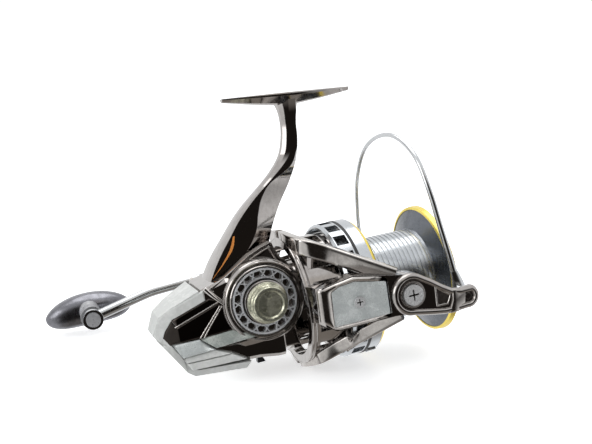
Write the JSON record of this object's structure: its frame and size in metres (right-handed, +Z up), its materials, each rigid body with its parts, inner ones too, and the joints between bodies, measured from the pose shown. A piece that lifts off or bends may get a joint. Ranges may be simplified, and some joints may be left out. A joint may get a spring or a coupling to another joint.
{
  "type": "spinning reel",
  "caption": "Long-cast spinning reel with a stem and foot, a two-arm rotor with a wire bail, a wide ringed spool, front drag and a T-bar crank handle.",
  "frame": {"origin": "on the spool and main-shaft axis, at the crank axis's station along it", "axes": "+X forward along the spool axis, the way line leaves; +Y towards the handle; +Z up towards the foot"},
  "size_m": [0.2456, 0.1724, 0.1685],
  "materials": {
    "gunmetal": "black-chrome mirror plating",
    "satin_alloy": "satin silver",
    "silver_alloy": "turned, anodised silver",
    "bright_steel": "polished",
    "tool_steel": "ground",
    "grey_anodised": "dark grey anodised",
    "gold_anodised": "gold anodised",
    "brass": "machined",
    "zinc_alloy": "as cast and cut",
    "black_rubber": "moulded",
    "black_plastic": "gloss moulded",
    "carbon_felt": "woven carbon washer"
  },
  "bodies": {
    "body": {"main_body": "gunmetal", "side_cover": "gunmetal", "filigree_ring": "bright_steel", "tail_guard": "satin_alloy", "neck_ring": "gunmetal", "cover_screws": "tool_steel", "crank_bearings": "tool_steel", "pinion_bearings": "tool_steel", "bearing_retainer": "tool_steel", "clutch_ring": "tool_steel", "clutch_rollers": "tool_steel", "worm_bushes": "brass", "guide_rod": "tool_steel"},
    "anti_reverse": {"anti_reverse_lever": "black_plastic"},
    "crank": {"drive_gear": "zinc_alloy", "drive_shaft": "tool_steel", "gear_shim": "brass", "handle_hub": "bright_steel", "handle_arm": "bright_steel", "knob_spindle": "tool_steel", "screw_cap": "gunmetal"},
    "handle_knob": {"knob_neck": "satin_alloy", "knob_grip": "black_plastic", "knob_bushes": "brass", "knob_cap": "bright_steel"},
    "worm": {"worm_shaft": "tool_steel", "worm_gear": "brass"},
    "shaft": {"main_shaft": "tool_steel", "slider": "zinc_alloy", "slider_pawl": "brass", "cross_pin": "tool_steel"},
    "rotor": {"pinion": "brass", "clutch_sleeve": "tool_steel", "rotor": "gunmetal", "rotor_nut": "brass", "arm_covers": "satin_alloy", "arm_cover_screws": "tool_steel", "pivot_screws": "gunmetal", "bail_spring": "tool_steel"},
    "kick": {"kick_lever": "tool_steel"},
    "bail": {"bail_arm": "gunmetal", "roller_bush": "brass", "bail_wire": "bright_steel", "wire_cone": "bright_steel", "bail_holder": "gunmetal"},
    "roller": {"line_roller": "bright_steel"},
    "spool": {"spool_arbor": "silver_alloy", "spool_flange": "grey_anodised", "spool_skirt": "silver_alloy", "skirt_oring": "black_rubber", "skirt_gold_ring": "gold_anodised", "spool_lip": "gold_anodised", "line_clip": "bright_steel", "click_gear": "black_plastic", "drag_washers": "carbon_felt", "drag_plates": "tool_steel", "washer_clip": "tool_steel"},
    "drag": {"drag_knob": "silver_alloy", "drag_nut": "brass", "pressure_plate": "tool_steel"}
  },
  "joints": [
    {"name": "crank_spin", "type": "hinge", "parent": "body", "child": "crank", "pos_m": [0, 0, 0.0087], "axis": [0, 1, 0], "continuous": true},
    {"name": "knob_spin", "type": "hinge", "parent": "crank", "child": "handle_knob", "pos_m": [-0.0916, 0.102, 0.0027], "axis": [0, 1, 0], "continuous": true},
    {"name": "rotor_spin", "type": "hinge", "parent": "body", "child": "rotor", "pos_m": [0, 0, 0], "axis": [1, 0, 0], "continuous": true},
    {"name": "worm_spin", "type": "hinge", "parent": "body", "child": "worm", "pos_m": [0, 0.0093, -0.0093], "axis": [1, 0, 0], "continuous": true},
    {"name": "spool_stroke", "type": "slide", "parent": "body", "child": "shaft", "axis": [1, 0, 0], "range_m": [0, 0.028]},
    {"name": "spool_slip", "type": "hinge", "parent": "shaft", "child": "spool", "pos_m": [0.09, 0, 0], "axis": [1, 0, 0], "continuous": true},
    {"name": "drag_turn", "type": "hinge", "parent": "shaft", "child": "drag", "pos_m": [0.115, 0, 0], "axis": [1, 0, 0], "continuous": true},
    {"name": "bail_swing", "type": "hinge", "parent": "rotor", "child": "bail", "pos_m": [0.0772, 0, 0], "axis": [0, 1, 0], "range_deg": [0, 100]},
    {"name": "kick_swing", "type": "hinge", "parent": "rotor", "child": "kick", "pos_m": [0.058, -0.051, 0], "axis": [0, 1, 0], "range_deg": [0, 10]},
    {"name": "line_roller_spin", "type": "hinge", "parent": "bail", "child": "roller", "pos_m": [0.1125, -0.0508, -0.009], "axis": [0, 1, 0], "continuous": true},
    {"name": "anti_reverse_swing", "type": "hinge", "parent": "body", "child": "anti_reverse", "pos_m": [-0.003, 0, -0.0226], "axis": [0, 1, 0], "range_deg": [-12, 12]}
  ],
  "couplings": [
    {"joint": "rotor_spin", "follows": "crank_spin", "ratio": 4.1111},
    {"joint": "worm_spin", "follows": "crank_spin", "ratio": -2.0556},
    {"joint": "kick_swing", "follows": "bail_swing", "ratio": 0.1}
  ]
}
